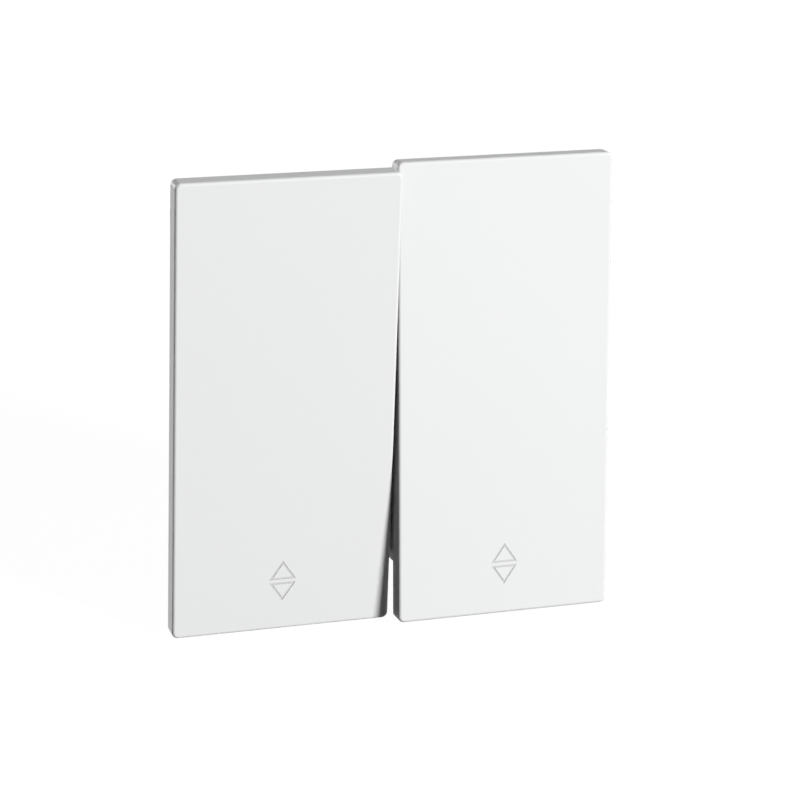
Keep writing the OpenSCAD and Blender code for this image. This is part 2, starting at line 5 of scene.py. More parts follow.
import bpy
from bpy.props import FloatProperty, FloatVectorProperty, IntProperty, PointerProperty
from mathutils import Matrix, Vector


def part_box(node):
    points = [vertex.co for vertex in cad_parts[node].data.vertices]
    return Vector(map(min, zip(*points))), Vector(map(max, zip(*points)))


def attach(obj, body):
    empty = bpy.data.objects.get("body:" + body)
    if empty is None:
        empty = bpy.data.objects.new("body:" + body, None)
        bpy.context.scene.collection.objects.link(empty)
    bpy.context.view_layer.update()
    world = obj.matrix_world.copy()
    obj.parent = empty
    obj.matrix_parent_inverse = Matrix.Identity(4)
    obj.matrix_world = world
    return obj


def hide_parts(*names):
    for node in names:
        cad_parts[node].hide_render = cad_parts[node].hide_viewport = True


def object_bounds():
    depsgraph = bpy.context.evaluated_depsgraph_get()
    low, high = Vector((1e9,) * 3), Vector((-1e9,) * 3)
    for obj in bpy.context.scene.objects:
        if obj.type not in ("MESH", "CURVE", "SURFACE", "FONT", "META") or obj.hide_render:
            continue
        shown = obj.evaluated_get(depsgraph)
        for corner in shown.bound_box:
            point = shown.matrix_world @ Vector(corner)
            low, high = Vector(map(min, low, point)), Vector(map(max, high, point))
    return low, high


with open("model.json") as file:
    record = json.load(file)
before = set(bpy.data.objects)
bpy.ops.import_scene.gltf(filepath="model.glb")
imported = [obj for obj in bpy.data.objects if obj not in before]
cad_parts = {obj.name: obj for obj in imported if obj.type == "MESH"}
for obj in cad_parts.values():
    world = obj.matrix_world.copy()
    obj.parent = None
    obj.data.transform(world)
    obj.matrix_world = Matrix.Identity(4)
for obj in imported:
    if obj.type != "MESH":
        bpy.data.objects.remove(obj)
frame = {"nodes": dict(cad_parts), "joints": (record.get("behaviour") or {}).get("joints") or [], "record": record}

bl_info = {
    "name": "Double two-way switch",
    "version": (1, 0, 0),
    "blender": (4, 5, 0),
    "location": "3D View > Sidebar > Switch",
    "description": "Finishes the keys, mechanism, housing and stage of a double two-way switch",
    "category": "Object",
}

MM = 0.001
CAD_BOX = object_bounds()
JOINTS = {joint["name"]: joint for joint in frame["joints"]}
SIDES = ("left", "right")
PANEL_DEPTH = 0.25 * MM               # how deep the rear cover's panel is sunk
FLAT_WITHIN = 0.5                     # degrees: faces that differ by less are one flat face
KEY_SMOOTH = 25                       # degrees: smooth shading on the keys up to this angle
MOULD_SMOOTH = 40                     # degrees: the same on the frame and housing, beyond it a soft edge
SCREW_SMOOTH = 30                     # degrees: the same on the screws
NOISE_SPAN = (0.3, 0.7)               # the span that nearly all of a noise lies in
PLASTIC_SPREAD = (-0.05, 0.05)        # how far the roughness of the plastics goes up and down
METAL_SPREAD = (-0.08, 0.1)           # the same for the metals
ALONG_Z = (1, 1, 0.06)                # drawn lines: the noise runs this much slower along Z
ALL_ROUND = (1, 1, 1)                 # no lines: the noise runs alike each way
PANEL_SIZE = (16 * MM, 11 * MM)       # the part of that panel that the two diagrams share
RECESS_TOOL = 1.2                     # the cross tool's height, as a share of the head's
RECESS_MIDDLE = 0.75                  # the height of that tool's middle in the head
RECESS_TAPER = 0.5                    # how far the cross narrows to its bottom
HEAD_ROUNDING = 0.35                  # the rounding of a screw head, as a share of its height
THREAD_ROOT = 0.72                    # the root of the thread, as a share of its crest
SHANK_SHARE = 0.9 / 1.7               # the shank's radius, as a share of the head's
CAPITAL_SHARE = 0.7                   # the height of a capital, as a share of the font's size
DIAGRAM_REACH = (0.18, 0.22)          # where the diagram's rings sit, as shares of the panel
DIAGRAM_STUB = 0.12                   # how far the diagram's stubs run out, as a share of the panel
MAIN_SIDE = (0.6, -1, 0.31)           # the main lamp shines from the front, right and above
REAR_SIDE = (-0.6, 0.8, 0)            # the rear lamp shines from behind and left
MAIN_BOUNCES = 0                      # the main lamp's light is direct only
REAR_BOUNCES = 8                      # the rear lamp's light bounces on
SENSOR_WIDTH = 36                     # the camera's sensor in millimetres, as Blender counts it
BACKDROP_SIDE = (-0.45, 0.8, -0.55)   # the backdrop lights the switch from behind, left and below
BACKDROP_EDGE = (0.3, 0.9)            # where the backdrop's light begins and where it is full
FLOOR_WIDTH = 4                       # metres
FLOOR_GREY = 0.15                     # the floor, as it throws light back
FLOOR_GLOW = 0.965                    # the floor's white, as it is seen
FLOOR_SHADE = 0.13                    # the part of the seen floor that takes shadows
FLOOR_GAP = 0.3 * MM                  # how far the floor lies under the keys


def colour_property(name, text, value):
    """A colour that the user may change."""
    return FloatVectorProperty(name=name, description=text, subtype="COLOR", size=3, min=0, max=1,
                               default=value)


def length_property(name, text, value):
    """A length in metres that the user may change."""
    return FloatProperty(name=name, description=text, unit="LENGTH", subtype="DISTANCE", min=0,
                         precision=5, default=value)


def angle_property(name, text, degrees):
    """An angle that the user may change."""
    return FloatProperty(name=name, description=text, subtype="ANGLE", unit="ROTATION",
                         default=math.radians(degrees))


class FinishSettings(bpy.types.PropertyGroup):
    """Colours of the switch's plastics and metals, and the grey painted as shade in the engraved lines."""
    key: colour_property("Keys", "White plastic of the two keys", (0.895, 0.9, 0.903))
    # mark: painted shade, a grey at the bottom of the engraved lines that darkens them beyond the shade their
    # depth gives
    mark: colour_property("Mark", "Grey at the bottom of the engraved lines", (0.72, 0.72, 0.72))
    rocker: colour_property("Rockers", "Grey plastic of the inner rockers", (0.5, 0.51, 0.52))
    front_frame: colour_property("Front frame", "Pale plastic of the front frame", (0.66, 0.67, 0.68))
    housing: colour_property("Housing", "Grey plastic of the housing and its cover", (0.36, 0.37, 0.38))
    plunger: colour_property("Plungers", "Natural plastic of the plungers", (0.82, 0.8, 0.72))
    brass: colour_property("Brass", "Brass of the terminals and levers", (0.78, 0.56, 0.26))
    silver: colour_property("Silver", "Silver of the contact tips", (0.86, 0.85, 0.82))
    spring: colour_property("Spring steel", "Steel of the springs and leaves", (0.6, 0.61, 0.63))
    screw: colour_property("Screws", "Zinc plated steel of the screws", (0.68, 0.69, 0.68))


class MarkSettings(bpy.types.PropertyGroup):
    """The outline triangles engraved near the bottom of each key."""
    width: length_property("Width", "Width of a triangle", 2.64 * MM)
    height: length_property("Height", "Height of a triangle", 1.9 * MM)
    gap: length_property("Gap", "Gap between the two bases", 0.32 * MM)
    centre: length_property("Centre", "Height of the mark's middle above the key's lower edge", 5.05 * MM)
    stroke: length_property("Stroke", "Width of a line", 0.19 * MM)
    depth: length_property("Depth", "Depth of a line", 0.05 * MM)


class ScrewSettings(bpy.types.PropertyGroup):
    """The screws that hold the cover, housing and frame together."""
    head: length_property("Head", "Height of a head", 1 * MM)
    recess: length_property("Recess", "Length of an arm of the cross recess", 2 * MM)
    arm: length_property("Arm", "Width of an arm of the cross recess", 0.42 * MM)
    pitch: length_property("Pitch", "Pitch of the thread", 0.6 * MM)
    threads: IntProperty(name="Threads", description="Number of thread turns", min=1, default=9)


class HousingSettings(bpy.types.PropertyGroup):
    """The moulded edges of the frame and housing, and the marks on the rear cover."""
    edge: length_property("Edges", "Width of the softened edges", 0.12 * MM)
    letter: length_property("Letters", "Height of a terminal letter", 1.7 * MM)
    letter_step: length_property("Letter step", "Distance of a letter from its wire entry", 3.1 * MM)
    line: length_property("Lines", "Width of a line of the wiring diagram", 0.28 * MM)
    ring: length_property("Rings", "Radius of a terminal's ring in the diagram", 0.6 * MM)
    relief: length_property("Relief", "Height of the letters and the diagram", 0.1 * MM)


class StageSettings(bpy.types.PropertyGroup):
    """Camera, lamps and floor."""
    azimuth: angle_property("Azimuth", "Direction of view, to the right of straight in", 18.15)
    elevation: angle_property("Elevation", "Height of the camera over the horizon", 16.962)
    roll: angle_property("Roll", "Roll of the camera", 0.969)
    distance: length_property("Distance", "Distance of the camera from its aim", 258.0 * MM)
    aim_right: length_property("Aim", "Aim point, to the right of the middle", 0.349 * MM)
    aim_drop: length_property("Aim drop", "Aim point, below the middle", 0.108 * MM)
    lens: FloatProperty(name="Lens", description="Focal length for a 36 mm sensor", min=1, default=122.19)
    lamp_power: FloatProperty(name="Lamp", description="Power of the main lamp", unit="POWER", min=0,
                              default=17.9)
    lamp_size: length_property("Lamp size", "Width of the main lamp", 0.3)
    lamp_distance: length_property("Lamp distance", "Distance of the main lamp from the switch", 1.3)
    rear_power: FloatProperty(name="Rear lamp", description="Power of the soft lamp behind the switch",
                              unit="POWER", min=0, default=15)
    rear_size: length_property("Rear lamp size", "Width of the rear lamp", 0.7)
    front_light: FloatProperty(name="Front light", description="Even light from the front", min=0,
                               default=0.06)
    back_light: FloatProperty(name="Back light", description="Even light from the white backdrop", min=0,
                              default=0.5)


# Small helpers


def select_only(*objects):
    """Selects these objects alone, the last of them active."""
    if bpy.context.object and bpy.context.object.mode != "OBJECT":
        bpy.ops.object.mode_set(mode="OBJECT")
    bpy.ops.object.select_all(action="DESELECT")
    for each in objects:
        each.select_set(True)
    bpy.context.view_layer.objects.active = objects[-1]


def settle(obj):
    """Puts an object's place into its mesh, so that it sits at the origin."""
    select_only(obj)
    bpy.ops.object.transform_apply(location=True, rotation=True, scale=True)


def apply_modifier(obj, kind, **values):
    """Adds a modifier, sets it and applies it."""
    select_only(obj)
    bpy.ops.object.modifier_add(type=kind)
    modifier = obj.modifiers[-1]
    for name, value in values.items():
        setattr(modifier, name, value)
    bpy.ops.object.modifier_apply(modifier=modifier.name)


def remove(obj):
    """Deletes a tool object that has done its work."""
    select_only(obj)
    bpy.ops.object.delete()


def copy_of(mesh, name):
    """A new object in the scene with its own copy of a mesh."""
    copy = bpy.data.objects.new(name, mesh.copy())
    bpy.context.scene.collection.objects.link(copy)
    return copy


def give_material(obj, material):
    """Makes a material the only one of an object."""
    obj.data.materials.clear()
    obj.data.materials.append(material)


def edit_where(obj, kind, test):
    """Opens an object in edit mode with only its edges or polygons selected that pass a test."""
    bpy.ops.object.mode_set(mode="EDIT")
    bpy.ops.mesh.select_all(action="DESELECT")
    bpy.ops.object.mode_set(mode="OBJECT")
    for part in getattr(obj.data, kind):
        part.select = test(part)
    bpy.ops.object.mode_set(mode="EDIT")


def joined(objects, name):
    """Joins objects into one, under a name."""
    select_only(*objects)
    if len(objects) > 1:
        bpy.ops.object.join()
    whole = bpy.context.object
    whole.name = name
    return whole


def soften(obj, degrees):
    """Smooth shading up to an angle, with normals that keep flat faces flat."""
    select_only(obj)
    bpy.ops.object.shade_smooth_by_angle(angle=math.radians(degrees))
    apply_modifier(obj, "WEIGHTED_NORMAL", keep_sharp=True, weight=80)


def welded_copy(node, name):
    """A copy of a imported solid's mesh with its corners merged, its flat faces whole, its shading plain."""
    copy = copy_of(frame["nodes"][node].data, name)
    select_only(copy)
    bpy.ops.mesh.customdata_custom_splitnormals_clear()
    bpy.ops.object.mode_set(mode="EDIT")
    bpy.ops.mesh.select_all(action="SELECT")
    bpy.ops.mesh.mark_sharp(clear=True)
    bpy.ops.mesh.remove_doubles(threshold=0.001 * MM)
    bpy.ops.mesh.dissolve_limited(angle_limit=math.radians(FLAT_WITHIN))
    bpy.ops.object.mode_set(mode="OBJECT")
    return copy


# Materials


def new_material(name):
    """A node material, with its tree and its shader."""
    material = bpy.data.materials.new(name)
    material.use_nodes = True
    return material, material.node_tree, material.node_tree.nodes["Principled BSDF"]


def object_noise(tree, scale, detail, stretch=ALL_ROUND):
    """Noise on the object's own coordinates, in waves per metre, stretched along an axis."""
    coordinate = tree.nodes.new("ShaderNodeTexCoord")
    mapping = tree.nodes.new("ShaderNodeMapping")
    mapping.inputs["Scale"].default_value = stretch
    noise = tree.nodes.new("ShaderNodeTexNoise")
    noise.inputs["Scale"].default_value = scale
    noise.inputs["Detail"].default_value = detail
    tree.links.new(coordinate.outputs["Object"], mapping.inputs["Vector"])
    tree.links.new(mapping.outputs["Vector"], noise.inputs["Vector"])
    return noise.outputs["Fac"]


def varied(tree, source, middle, spread_by):
    """A value that goes up and down from its middle with a noise, within two limits."""
    spread = tree.nodes.new("ShaderNodeMapRange")
    spread.inputs["From Min"].default_value = NOISE_SPAN[0]
    spread.inputs["From Max"].default_value = NOISE_SPAN[1]
    spread.inputs["To Min"].default_value = middle + spread_by[0]
    spread.inputs["To Max"].default_value = middle + spread_by[1]
    tree.links.new(source, spread.inputs["Value"])
    return spread.outputs["Result"]


def tinted(tree, source, colour, change):
    """A colour that drifts lighter and darker with a noise value."""
    mix = tree.nodes.new("ShaderNodeMix")
    mix.data_type = "RGBA"
    mix.inputs["A"].default_value = (*[c * (1 - change) for c in colour], 1)
    mix.inputs["B"].default_value = (*[min(1, c * (1 + change)) for c in colour], 1)
    tree.links.new(source, mix.inputs["Factor"])
    return mix.outputs["Result"]


def bumped(tree, shader, source, height):
    """Fine relief of a real height on the shader's surface."""
    bump = tree.nodes.new("ShaderNodeBump")
    bump.inputs["Strength"].default_value = 1
    bump.inputs["Distance"].default_value = height
    tree.links.new(source, bump.inputs["Height"])
    tree.links.new(bump.outputs["Normal"], shader.inputs["Normal"])


def moulded_plastic(name, colour, roughness, grain, height, drift=0.012, gloss=0.5):
    """Moulded plastic: a fine spark-eroded grain, a slow drift of tone and of gloss."""
    material, tree, shader = new_material(name)
    slow = object_noise(tree, scale=70, detail=2)
    fine = object_noise(tree, scale=grain, detail=3)
    tree.links.new(tinted(tree, slow, colour, drift), shader.inputs["Base Color"])
    tree.links.new(varied(tree, fine, roughness, PLASTIC_SPREAD), shader.inputs["Roughness"])
    bumped(tree, shader, fine, height)
    shader.inputs["IOR"].default_value = 1.5
    shader.inputs["Specular IOR Level"].default_value = gloss
    return material


def rolled_metal(name, colour, roughness, stretch, height, drift=0.06):
    """Rolled or drawn metal: fine lines or grain, and faint tarnish."""
    material, tree, shader = new_material(name)
    lines = object_noise(tree, scale=5000, detail=4, stretch=stretch)
    tarnish = object_noise(tree, scale=260, detail=3)
    tree.links.new(tinted(tree, tarnish, colour, drift), shader.inputs["Base Color"])
    tree.links.new(varied(tree, lines, roughness, METAL_SPREAD), shader.inputs["Roughness"])
    bumped(tree, shader, lines, height)
    shader.inputs["Metallic"].default_value = 1
    return material


def paint_nodes(material, *nodes):
    """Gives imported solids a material."""
    for name in nodes:
        give_material(frame["nodes"][name], material)


def of_both(*names):
    """The left and the right node of each name."""
    return [f"{side}_{name}" for side in SIDES for name in names]


# Keys


def rest_turn(side):
    """The turn of a key from flat to its rest pose, about its own axis."""
    joint = JOINTS[f"{side}_key_tilt"]
    angle = -math.radians(sum(joint["range_deg"]) / 2)
    pivot = Matrix.Translation((0, joint["pos_m"][1], 0))
    return pivot @ Matrix.Rotation(angle, 4, "X") @ pivot.inverted()


def triangle_cutter(mark, upwards):
    """A solid triangular outline, as wide and deep as an engraved line, standing proud of the face."""
    proud = 2 * mark.depth
    bpy.ops.mesh.primitive_circle_add(vertices=3, radius=1, fill_type="NGON")
    outline = bpy.context.object
    low = min(v.co.y for v in outline.data.vertices)
    high = max(v.co.y for v in outline.data.vertices)
    wide = max(v.co.x for v in outline.data.vertices) - min(v.co.x for v in outline.data.vertices)
    tall = mark.height / (high - low)
    outline.scale = (mark.width / wide, tall, 1)
    outline.location = (0, mark.gap / 2 - low * tall, 0)
    settle(outline)
    if not upwards:
        outline.rotation_euler = (0, 0, math.pi)
        settle(outline)
    bpy.ops.object.mode_set(mode="EDIT")
    bpy.ops.mesh.select_all(action="SELECT")
    bpy.ops.mesh.inset(thickness=mark.stroke, use_boundary=True)
    bpy.ops.mesh.delete(type="FACE")
    bpy.ops.mesh.select_all(action="SELECT")
    bpy.ops.mesh.extrude_region_move(TRANSFORM_OT_translate={"value": (0, 0, mark.depth + proud)})
    bpy.ops.mesh.select_all(action="SELECT")
    bpy.ops.mesh.normals_make_consistent(inside=False)
    bpy.ops.object.mode_set(mode="OBJECT")
    return outline


def key_face(side):
    """The key's middle across, its untilted face plane and its lower edge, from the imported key."""
    flat = rest_turn(side).inverted()
    places = [flat @ v.co for v in frame["nodes"][f"{side}_key"].data.vertices]
    low = Vector([min(p[i] for p in places) for i in range(3)])
    high = Vector([max(p[i] for p in places) for i in range(3)])
    return (low.x + high.x) / 2, low.y, low.z


def engrave_key(side, mark, plastic, line):
    """Cuts the two-way mark into the face of a packed key."""
    middle, face, bottom = key_face(side)
    piece = welded_copy(f"{side}_key", f"{side}_engraved_key")
    give_material(piece, plastic)
    cutter = joined([triangle_cutter(mark, True), triangle_cutter(mark, False)], "mark_cutter")
    # The cutter's grey material passes to the groove faces as painted shade
    cutter.data.materials.append(line)
    cutter.matrix_world = (rest_turn(side)
                           @ Matrix.Translation((middle, face + mark.depth, bottom + mark.centre))
                           @ Matrix.Rotation(math.pi / 2, 4, "X"))
    settle(cutter)
    apply_modifier(piece, "BOOLEAN", operation="DIFFERENCE", solver="EXACT", object=cutter,
                   material_mode="TRANSFER")
    remove(cutter)
    soften(piece, KEY_SMOOTH)
    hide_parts(f"{side}_key")
    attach(piece, f"{side}_key_body")


class SWITCH_OT_keys(bpy.types.Operator):
    """Engraves the two-way mark into both keys and gives them their white plastic"""
    bl_idname = "switch.keys"
    bl_label = "Keys"

    def execute(self, context):
        finish = context.scene.switch_finish
        plastic = moulded_plastic("satin_white_plastic", finish.key, roughness=0.42, grain=4200,
                                  height=0.0006 * MM, drift=0.006, gloss=0.2)
        # The grey engraved-line material is painted shade at the bottom of the grooves
        line = moulded_plastic("engraved_line", finish.mark, roughness=0.6, grain=4200,
                               height=0.0006 * MM, drift=0.01, gloss=0.2)
        for side in SIDES:
            engrave_key(side, context.scene.switch_mark, plastic, line)
        return {"FINISHED"}


class SWITCH_OT_plastics(bpy.types.Operator):
    """Gives the rockers and plungers their moulded plastics"""
    bl_idname = "switch.plastics"
    bl_label = "Plastic pieces"

    def execute(self, context):
        finish = context.scene.switch_finish
        paint_nodes(moulded_plastic("rocker_plastic", finish.rocker, roughness=0.38, grain=3000,
                                    height=0.001 * MM), *of_both("rocker"))
        paint_nodes(moulded_plastic("plunger_plastic", finish.plunger, roughness=0.3, grain=2600,
                                    height=0.0006 * MM), *of_both("plunger"))
        return {"FINISHED"}


def soften_node(node, plastic, edge):
    """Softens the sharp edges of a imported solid, as a mould leaves them."""
    piece = welded_copy(node, f"moulded_{node}")
    give_material(piece, plastic)
    apply_modifier(piece, "BEVEL", width=edge, segments=2, limit_method="ANGLE",
                   angle_limit=math.radians(MOULD_SMOOTH), harden_normals=False)
    soften(piece, MOULD_SMOOTH)
    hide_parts(node)
    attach(piece, "base")


def on_back(obj, across, up, depth):
    """Stands a flat mesh on the cover's back, readable from behind, its front towards +Y."""
    obj.matrix_world = (Matrix.Translation((across, depth, up)) @ Matrix.Rotation(math.pi, 4, "Z")
                        @ Matrix.Rotation(math.pi / 2, 4, "X") @ obj.matrix_world)
    settle(obj)
    return obj


def letter(text, height, relief):
    """A raised letter, centred at the origin and facing +Z."""
    bpy.ops.object.text_add()
    words = bpy.context.object
    words.data.body = text
    words.data.align_x = "CENTER"
    words.data.align_y = "CENTER"
    words.data.size = height / CAPITAL_SHARE
    words.data.extrude = relief / 2
    bpy.ops.object.convert(target="MESH")
    mesh = bpy.context.object
    mesh.location.z = relief / 2
    settle(mesh)
    return mesh


def bar(start, end, width, relief):
    """A raised line between two points, facing +Z."""
    step = Vector(end) - Vector(start)
    middle = (Vector(start) + Vector(end)) / 2
    bpy.ops.mesh.primitive_cube_add(size=1, location=(middle.x, middle.y, relief / 2),
                                    rotation=(0, 0, math.atan2(step.y, step.x)))
    line = bpy.context.object
    line.scale = (step.length, width, relief)
    settle(line)
    return line


def ring(place, radius, width, relief):
    """A raised ring, facing +Z."""
    bpy.ops.mesh.primitive_torus_add(major_radius=radius, minor_radius=width / 2, major_segments=28,
                                     minor_segments=8, location=(*place, 0))
    loop = bpy.context.object
    loop.scale = (1, 1, 2 * relief / width)
    settle(loop)
    return loop


def wiring_diagram(housing, panel):
    """The sign of a two-way switch: a lever from the common ring to one of two others."""
    reach, rise = DIAGRAM_REACH[0] * panel.x, DIAGRAM_REACH[1] * panel.y
    common, upper, lower = (-reach, 0), (reach, rise), (reach, -rise)
    out = DIAGRAM_STUB * panel.x
    lines = [ring(p, housing.ring, housing.line, housing.relief) for p in (common, upper, lower)]
    near = housing.ring / math.hypot(2 * reach, rise)
    tips = [tuple(a + (b - a) * share for a, b in zip(common, upper)) for share in (near, 1 - near)]
    lines.append(bar(*tips, housing.line, housing.relief))
    lines.append(bar((-reach - housing.ring, 0), (-reach - out, 0), housing.line, housing.relief))
    for place in (upper, lower):
        lines.append(bar((place[0] + housing.ring, place[1]), (place[0] + out, place[1]),
                         housing.line, housing.relief))
    return joined(lines, "wiring_diagram")


def rear_marks(housing, plastic):
    """The letters at the wire entries and a wiring diagram for each switch on the sunk panel."""
    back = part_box("rear_cover")[1].y
    mounts = {mount["name"]: Vector(mount["pos_m"]) for mount in frame["record"]["mounts"]}
    panel = Vector(PANEL_SIZE)
    marks = []
    for side, sign in zip(SIDES, (-1, 1)):
        common, upper, lower = (mounts[f"{side}_{name}_wire"] for name in ("common", "upper", "lower"))
        places = {"L": common + Vector((0, 0, housing.letter_step)),
                  "1": upper + Vector((sign * housing.letter_step, 0, 0)),
                  "2": lower + Vector((sign * housing.letter_step, 0, 0))}
        for text, place in places.items():
            marks.append(on_back(letter(text, housing.letter, housing.relief), place.x, place.z, back))
        marks.append(on_back(wiring_diagram(housing, panel), sign * panel.x / 4, 0,
                             back - PANEL_DEPTH))
    piece = joined(marks, "rear_marks")
    give_material(piece, plastic)
    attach(piece, "base")


class SWITCH_OT_housing(bpy.types.Operator):
    """Softens the frame, housing and cover, and marks the cover's wire entries"""
    bl_idname = "switch.housing"
    bl_label = "Frame and housing"

    def execute(self, context):
        finish, housing = context.scene.switch_finish, context.scene.switch_housing
        pale = moulded_plastic("frame_plastic", finish.front_frame, roughness=0.45, grain=2600,
                               height=0.002 * MM)
        grey = moulded_plastic("housing_plastic", finish.housing, roughness=0.5, grain=2200,
                               height=0.004 * MM, drift=0.03)
        soften_node("front_frame", pale, housing.edge)
        for node in ("base_housing", "rear_cover"):
            soften_node(node, grey, housing.edge)
        rear_marks(housing, moulded_plastic("marking_plastic", finish.rocker, roughness=0.5, grain=2200,
                                            height=0.002 * MM))
        return {"FINISHED"}


class SWITCH_OT_metals(bpy.types.Operator):
    """Gives the terminals, levers, tips and springs their metals"""
    bl_idname = "switch.metals"
    bl_label = "Metal pieces"

    def execute(self, context):
        finish = context.scene.switch_finish
        paint_nodes(rolled_metal("rolled_brass", finish.brass, roughness=0.28, stretch=ALONG_Z,
                                 height=0.001 * MM),
                    *of_both("contact_lever", "common_terminal", "upper_terminal", "lower_terminal"))
        paint_nodes(rolled_metal("contact_silver", finish.silver, roughness=0.22, stretch=ALL_ROUND,
                                 height=0.0005 * MM),
                    *of_both("lever_tips", "fixed_tips"))
        paint_nodes(rolled_metal("spring_steel", finish.spring, roughness=0.3, stretch=ALONG_Z,
                                 height=0.0006 * MM, drift=0.03),
                    *of_both("plunger_spring", "common_leaf", "upper_leaf", "lower_leaf"))
        return {"FINISHED"}


def cross_recess(screws, place):
    """The tapered cross that a driver turns, sunk into the top of a head."""
    arms = []
    for quarter in (0, 1):
        bpy.ops.mesh.primitive_cube_add(size=1)
        arm = bpy.context.object
        arm.scale = (screws.recess, screws.arm, RECESS_TOOL * screws.head)
        arm.rotation_euler = (0, 0, quarter * math.pi / 2)
        settle(arm)
        edit_where(arm, "polygons", lambda face: face.normal.z < -0.5)
        bpy.ops.transform.resize(value=(RECESS_TAPER, RECESS_TAPER, 1))
        bpy.ops.object.mode_set(mode="OBJECT")
        arms.append(arm)
    first, second = arms
    apply_modifier(first, "BOOLEAN", operation="UNION", solver="EXACT", object=second)
    remove(second)
    first.location = place
    settle(first)
    return first


def screw(screws, head_radius, shank_radius, length):
    """A pan-headed screw along Z, its seat at zero, its head above and its threads below."""
    bpy.ops.mesh.primitive_cylinder_add(vertices=32, radius=head_radius, depth=screws.head,
                                        location=(0, 0, screws.head / 2))
    head = bpy.context.object
    settle(head)
    edit_where(head, "edges", lambda edge: all(head.data.vertices[i].co.z > screws.head / 2
                                               for i in edge.vertices))
    bpy.ops.mesh.bevel(offset=HEAD_ROUNDING * screws.head, segments=4)
    bpy.ops.object.mode_set(mode="OBJECT")
    recess = cross_recess(screws, (0, 0, RECESS_MIDDLE * screws.head))
    apply_modifier(head, "BOOLEAN", operation="DIFFERENCE", solver="EXACT", object=recess)
    remove(recess)
    thread_top = -length + screws.threads * screws.pitch
    bpy.ops.mesh.primitive_cylinder_add(vertices=24, radius=shank_radius, depth=-thread_top,
                                        location=(0, 0, thread_top / 2))
    shank = bpy.context.object
    settle(shank)
    bpy.ops.mesh.primitive_cone_add(vertices=24, radius1=THREAD_ROOT * shank_radius, radius2=shank_radius,
                                    depth=screws.pitch, location=(0, 0, screws.pitch / 2 - length))
    thread = bpy.context.object
    settle(thread)
    apply_modifier(thread, "ARRAY", count=screws.threads, use_relative_offset=False,
                   use_constant_offset=True, constant_offset_displace=(0, 0, screws.pitch))
    return joined([shank, thread, head], "screw")


def screw_head_radius():
    """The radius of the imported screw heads: half the width of the screws on the right."""
    across = [v.co.x for v in frame["nodes"]["housing_screws"].data.vertices if v.co.x > 0]
    return (max(across) - min(across)) / 2


class SWITCH_OT_screws(bpy.types.Operator):
    """Models the housing screws with their cross recesses and threads"""
    bl_idname = "switch.screws"
    bl_label = "Housing screws"

    def execute(self, context):
        screws = context.scene.switch_screws
        low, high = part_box("housing_screws")
        head_radius = screw_head_radius()
        steel = rolled_metal("zinc_plated_steel", context.scene.switch_finish.screw, roughness=0.3,
                             stretch=ALL_ROUND, height=0.0008 * MM)
        seat = high.y - screws.head
        shank_radius = SHANK_SHARE * head_radius
        first = screw(screws, head_radius, shank_radius, seat - low.y)
        first.rotation_euler = (-math.pi / 2, 0, 0)
        settle(first)
        copies = []
        for across in (low.x + head_radius, high.x - head_radius):
            for up in (low.z + head_radius, high.z - head_radius):
                copy = copy_of(first.data, "screw_copy")
                copy.location = (across, seat, up)
                settle(copy)
                copies.append(copy)
        remove(first)
        piece = joined(copies, "cross_head_screws")
        give_material(piece, steel)
        select_only(piece)
        bpy.ops.object.shade_smooth_by_angle(angle=math.radians(SCREW_SMOOTH))
        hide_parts("housing_screws")
        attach(piece, "base")
        return {"FINISHED"}


# Stage


def camera_matrix(stage, face_plane):
    """The camera's place and turn, from its direction, roll and distance."""
    a, e, r = stage.azimuth, stage.elevation, stage.roll
    forward = Vector((math.sin(a) * math.cos(e), math.cos(a) * math.cos(e), -math.sin(e)))
    level = Vector((math.cos(a), -math.sin(a), 0))
    up = level.cross(forward)
    right = math.cos(r) * level + math.sin(r) * up
    top = math.cos(r) * up - math.sin(r) * level
    place = Vector((stage.aim_right, face_plane, -stage.aim_drop)) - stage.distance * forward
    turn = Matrix((right, top, -forward)).transposed().to_4x4()
    return Matrix.Translation(place) @ turn


def add_camera(stage):
    """The camera at the photograph's viewpoint."""
    face_plane = key_face("right")[1]
    bpy.ops.object.camera_add()
    camera = bpy.context.object
    camera.data.lens = stage.lens
    camera.data.sensor_width = SENSOR_WIDTH
    camera.matrix_world = camera_matrix(stage, face_plane)
    bpy.context.scene.camera = camera


def add_lamp(name, direction, distance, power, size, bounces):
    """A square lamp that shines at the switch from a direction, its light bounced on so many times."""
    place = Vector(direction).normalized() * distance
    bpy.ops.object.light_add(type="AREA", location=place)
    lamp = bpy.context.object
    lamp.name = name
    lamp.data.energy = power
    lamp.data.size = size
    lamp.data.cycles.max_bounces = bounces
    lamp.rotation_euler = (-place).to_track_quat("-Z", "Y").to_euler()


def seen_directly(tree):
    """One for what the camera sees directly, in gloss or through glass, and nought otherwise."""
    path = tree.nodes.new("ShaderNodeLightPath")
    either = path.outputs["Is Camera Ray"]
    for name in ("Is Glossy Ray", "Is Transmission Ray"):
        highest = tree.nodes.new("ShaderNodeMath")
        highest.operation = "MAXIMUM"
        tree.links.new(either, highest.inputs[0])
        tree.links.new(path.outputs[name], highest.inputs[1])
        either = highest.outputs[0]
    return either


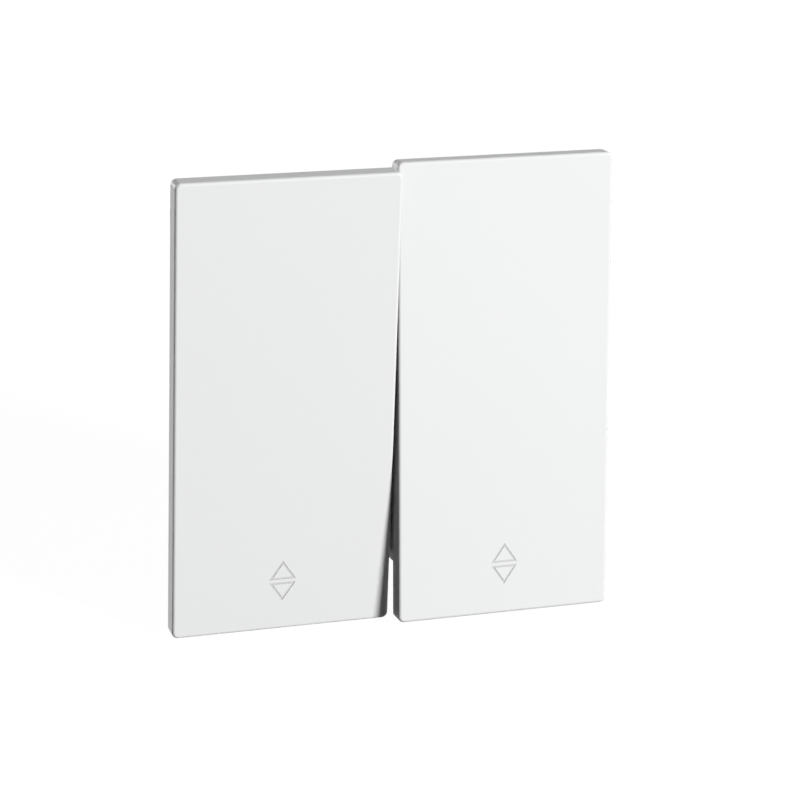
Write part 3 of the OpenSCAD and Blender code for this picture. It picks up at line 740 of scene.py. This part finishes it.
def white_world(front_light, back_light):
    """Even light, most of it from the white backdrop, and plain white behind the object."""
    world = bpy.data.worlds.new("white_surround")
    bpy.context.scene.world = world
    world.use_nodes = True
    tree = world.node_tree
    coordinate = tree.nodes.new("ShaderNodeTexCoord")
    side = tree.nodes.new("ShaderNodeVectorMath")
    side.operation = "DOT_PRODUCT"
    side.inputs[1].default_value = BACKDROP_SIDE
    tree.links.new(coordinate.outputs["Generated"], side.inputs[0])
    even = tree.nodes.new("ShaderNodeMapRange")
    even.inputs["From Min"].default_value = BACKDROP_EDGE[0]
    even.inputs["From Max"].default_value = BACKDROP_EDGE[1]
    even.inputs["To Min"].default_value = front_light
    even.inputs["To Max"].default_value = back_light
    tree.links.new(side.outputs["Value"], even.inputs["Value"])
    strength = tree.nodes.new("ShaderNodeMapRange")
    strength.inputs["To Max"].default_value = 1
    tree.links.new(seen_directly(tree), strength.inputs["Value"])
    tree.links.new(even.outputs["Result"], strength.inputs["To Min"])
    background = tree.nodes["Background"]
    background.inputs["Color"].default_value = (1, 1, 1, 1)
    tree.links.new(strength.outputs["Result"], background.inputs["Strength"])


def pale_floor(name):
    """A pale floor that looks white, keeps a faint shadow and is clear from below."""
    material, tree, shader = new_material(name)
    grain = object_noise(tree, scale=40, detail=3)
    tree.links.new(tinted(tree, grain, [FLOOR_GREY] * 3, change=0.01), shader.inputs["Base Color"])
    shader.inputs["Roughness"].default_value = 0.9
    faint = tree.nodes.new("ShaderNodeBsdfDiffuse")
    faint.inputs["Color"].default_value = (*[FLOOR_SHADE] * 3, 1)
    glow = tree.nodes.new("ShaderNodeEmission")
    glow.inputs["Strength"].default_value = FLOOR_GLOW
    both = tree.nodes.new("ShaderNodeAddShader")
    mix = tree.nodes.new("ShaderNodeMixShader")
    tree.links.new(faint.outputs[0], both.inputs[0])
    tree.links.new(glow.outputs[0], both.inputs[1])
    tree.links.new(seen_directly(tree), mix.inputs["Fac"])
    tree.links.new(shader.outputs[0], mix.inputs[1])
    tree.links.new(both.outputs[0], mix.inputs[2])
    below = tree.nodes.new("ShaderNodeNewGeometry")
    clear = tree.nodes.new("ShaderNodeBsdfTransparent")
    one_sided = tree.nodes.new("ShaderNodeMixShader")
    tree.links.new(below.outputs["Backfacing"], one_sided.inputs["Fac"])
    tree.links.new(mix.outputs[0], one_sided.inputs[1])
    tree.links.new(clear.outputs[0], one_sided.inputs[2])
    tree.links.new(one_sided.outputs[0], tree.nodes["Material Output"].inputs["Surface"])
    return material


class SWITCH_OT_stage(bpy.types.Operator):
    """Sets the pale floor, the surround, the lamps and the camera"""
    bl_idname = "switch.stage"
    bl_label = "Stage"

    def execute(self, context):
        stage = context.scene.switch_stage
        bpy.ops.object.select_all(action="DESELECT")
        bpy.ops.mesh.primitive_plane_add(size=FLOOR_WIDTH, location=(0, 0, CAD_BOX[0].z - FLOOR_GAP))
        floor = bpy.context.object
        floor.name = "floor"
        floor.data.materials.append(pale_floor("pale_floor"))
        white_world(stage.front_light, stage.back_light)
        add_lamp("main_lamp", MAIN_SIDE, stage.lamp_distance, stage.lamp_power, stage.lamp_size,
                 MAIN_BOUNCES)
        add_lamp("rear_lamp", REAR_SIDE, stage.lamp_distance, stage.rear_power, stage.rear_size,
                 REAR_BOUNCES)
        add_camera(stage)
        context.scene.view_settings.view_transform = "Standard"
        return {"FINISHED"}


class SWITCH_PT_panel(bpy.types.Panel):
    """Lists the steps that finish the switch"""
    bl_label = "Double two-way switch"
    bl_idname = "SWITCH_PT_panel"
    bl_space_type = "VIEW_3D"
    bl_region_type = "UI"
    bl_category = "Switch"

    def draw(self, context):
        for step in STEPS:
            self.layout.operator(step.bl_idname)


STEPS = (SWITCH_OT_keys, SWITCH_OT_plastics, SWITCH_OT_housing, SWITCH_OT_metals, SWITCH_OT_screws,
         SWITCH_OT_stage)
GROUPS = {"switch_finish": FinishSettings, "switch_mark": MarkSettings, "switch_screws": ScrewSettings,
          "switch_housing": HousingSettings, "switch_stage": StageSettings}


def register():
    """Registers the settings, the steps and the panel."""
    for name, group in GROUPS.items():
        bpy.utils.register_class(group)
        setattr(bpy.types.Scene, name, PointerProperty(type=group))
    for each in (*STEPS, SWITCH_PT_panel):
        bpy.utils.register_class(each)


def unregister():
    """Takes them away again."""
    for each in reversed((*STEPS, SWITCH_PT_panel)):
        bpy.utils.unregister_class(each)
    for name, group in GROUPS.items():
        delattr(bpy.types.Scene, name)
        bpy.utils.unregister_class(group)


def main():
    """Registers the add-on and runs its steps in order."""
    register()
    bpy.ops.switch.keys()
    bpy.ops.switch.plastics()
    bpy.ops.switch.housing()
    bpy.ops.switch.metals()
    bpy.ops.switch.screws()
    bpy.ops.switch.stage()


if __name__ == "__main__":
    main()
